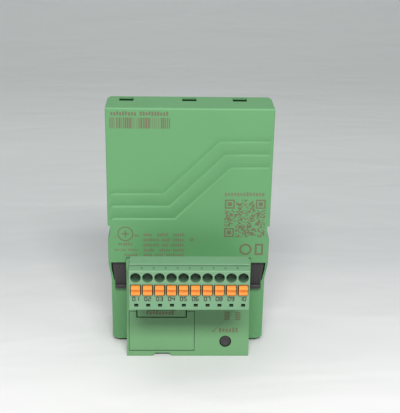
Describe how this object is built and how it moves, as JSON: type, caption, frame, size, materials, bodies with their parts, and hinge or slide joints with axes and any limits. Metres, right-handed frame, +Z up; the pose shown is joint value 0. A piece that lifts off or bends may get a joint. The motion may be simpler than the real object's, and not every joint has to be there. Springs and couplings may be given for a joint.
{
  "type": "plc module",
  "caption": "Rail-mounted control module: slim housing with relief lines, pull-off push-in terminal plug, memory stick behind a flap, confirm button and rail release.",
  "frame": {"origin": "middle of the bounding box's footprint, at the height of the base", "axes": "+X to the right seen from the front, +Y to the back where the rail goes, +Z up; the terminal plug faces -Y"},
  "size_m": [0.05, 0.0444, 0.0803],
  "materials": {
    "housing_plastic": "fine satin texture",
    "plug_plastic": "fine satin texture",
    "orange_plastic": "satin",
    "black_plastic": "satin",
    "circuit_board": "solder mask",
    "chip_plastic": "moulded",
    "clear_plastic": "clear, polished",
    "tinned_metal": "bright tin",
    "steel_shell": "pressed sheet",
    "aluminium_can": "satin",
    "ferrite": "pressed powder"
  },
  "bodies": {
    "housing": {"front_cover": "housing_plastic", "connector_block": "housing_plastic", "rear_shell": "housing_plastic", "memory_socket": "steel_shell", "service_port": "steel_shell", "service_board": "circuit_board", "confirm_switch": "chip_plastic", "light_guide_1": "clear_plastic", "status_light_1": "clear_plastic", "light_guide_2": "clear_plastic", "status_light_2": "clear_plastic", "main_board": "circuit_board", "processor": "chip_plastic", "storage_capacitor": "aluminium_can", "power_inductor": "ferrite", "board_connector": "chip_plastic", "header_shroud": "plug_plastic", "header_pin_01": "tinned_metal", "header_pin_02": "tinned_metal", "header_pin_03": "tinned_metal", "header_pin_04": "tinned_metal", "header_pin_05": "tinned_metal", "header_pin_06": "tinned_metal", "header_pin_07": "tinned_metal", "header_pin_08": "tinned_metal", "header_pin_09": "tinned_metal", "header_pin_10": "tinned_metal"},
    "rail_slide": {"rail_release": "black_plastic"},
    "flap": {"access_flap": "housing_plastic"},
    "stick": {"memory_stick": "housing_plastic"},
    "button": {"confirm_button": "black_plastic"},
    "plug": {"plug_housing": "plug_plastic", "clamp_contact_01": "tinned_metal", "clamp_contact_02": "tinned_metal", "clamp_contact_03": "tinned_metal", "clamp_contact_04": "tinned_metal", "clamp_contact_05": "tinned_metal", "clamp_contact_06": "tinned_metal", "clamp_contact_07": "tinned_metal", "clamp_contact_08": "tinned_metal", "clamp_contact_09": "tinned_metal", "clamp_contact_10": "tinned_metal"},
    "lever_01": {"actuator_01": "orange_plastic"},
    "lever_02": {"actuator_02": "orange_plastic"},
    "lever_03": {"actuator_03": "orange_plastic"},
    "lever_04": {"actuator_04": "orange_plastic"},
    "lever_05": {"actuator_05": "orange_plastic"},
    "lever_06": {"actuator_06": "orange_plastic"},
    "lever_07": {"actuator_07": "orange_plastic"},
    "lever_08": {"actuator_08": "orange_plastic"},
    "lever_09": {"actuator_09": "orange_plastic"},
    "lever_10": {"actuator_10": "orange_plastic"}
  },
  "joints": [
    {"name": "rail_release_slide", "type": "slide", "parent": "housing", "child": "rail_slide", "axis": [0, 0, -1], "range_m": [0, 0.003], "stiffness_N_per_m": 1500, "springref_m": -0.001},
    {"name": "flap_hinge", "type": "hinge", "parent": "housing", "child": "flap", "pos_m": [-0.00833, -0.00566, 0.00228], "axis": [1, 0, 0], "range_deg": [0, 85]},
    {"name": "stick_slide", "type": "slide", "parent": "housing", "child": "stick", "axis": [0, -0.9767, 0.2147], "range_m": [0, 0.013]},
    {"name": "button_press", "type": "slide", "parent": "housing", "child": "button", "axis": [0, 0.9767, -0.2147], "range_m": [0, 0.0008], "stiffness_N_per_m": 1200, "springref_m": -0.0004},
    {"name": "plug_pull", "type": "slide", "parent": "housing", "child": "plug", "axis": [0, -1, 0], "range_m": [0, 0.012]},
    {"name": "lever_press_01", "type": "slide", "parent": "plug", "child": "lever_01", "axis": [0, 1, 0], "range_m": [0, 0.0016], "stiffness_N_per_m": 3000, "springref_m": -0.0006},
    {"name": "lever_press_02", "type": "slide", "parent": "plug", "child": "lever_02", "axis": [0, 1, 0], "range_m": [0, 0.0016], "stiffness_N_per_m": 3000, "springref_m": -0.0006},
    {"name": "lever_press_03", "type": "slide", "parent": "plug", "child": "lever_03", "axis": [0, 1, 0], "range_m": [0, 0.0016], "stiffness_N_per_m": 3000, "springref_m": -0.0006},
    {"name": "lever_press_04", "type": "slide", "parent": "plug", "child": "lever_04", "axis": [0, 1, 0], "range_m": [0, 0.0016], "stiffness_N_per_m": 3000, "springref_m": -0.0006},
    {"name": "lever_press_05", "type": "slide", "parent": "plug", "child": "lever_05", "axis": [0, 1, 0], "range_m": [0, 0.0016], "stiffness_N_per_m": 3000, "springref_m": -0.0006},
    {"name": "lever_press_06", "type": "slide", "parent": "plug", "child": "lever_06", "axis": [0, 1, 0], "range_m": [0, 0.0016], "stiffness_N_per_m": 3000, "springref_m": -0.0006},
    {"name": "lever_press_07", "type": "slide", "parent": "plug", "child": "lever_07", "axis": [0, 1, 0], "range_m": [0, 0.0016], "stiffness_N_per_m": 3000, "springref_m": -0.0006},
    {"name": "lever_press_08", "type": "slide", "parent": "plug", "child": "lever_08", "axis": [0, 1, 0], "range_m": [0, 0.0016], "stiffness_N_per_m": 3000, "springref_m": -0.0006},
    {"name": "lever_press_09", "type": "slide", "parent": "plug", "child": "lever_09", "axis": [0, 1, 0], "range_m": [0, 0.0016], "stiffness_N_per_m": 3000, "springref_m": -0.0006},
    {"name": "lever_press_10", "type": "slide", "parent": "plug", "child": "lever_10", "axis": [0, 1, 0], "range_m": [0, 0.0016], "stiffness_N_per_m": 3000, "springref_m": -0.0006}
  ]
}
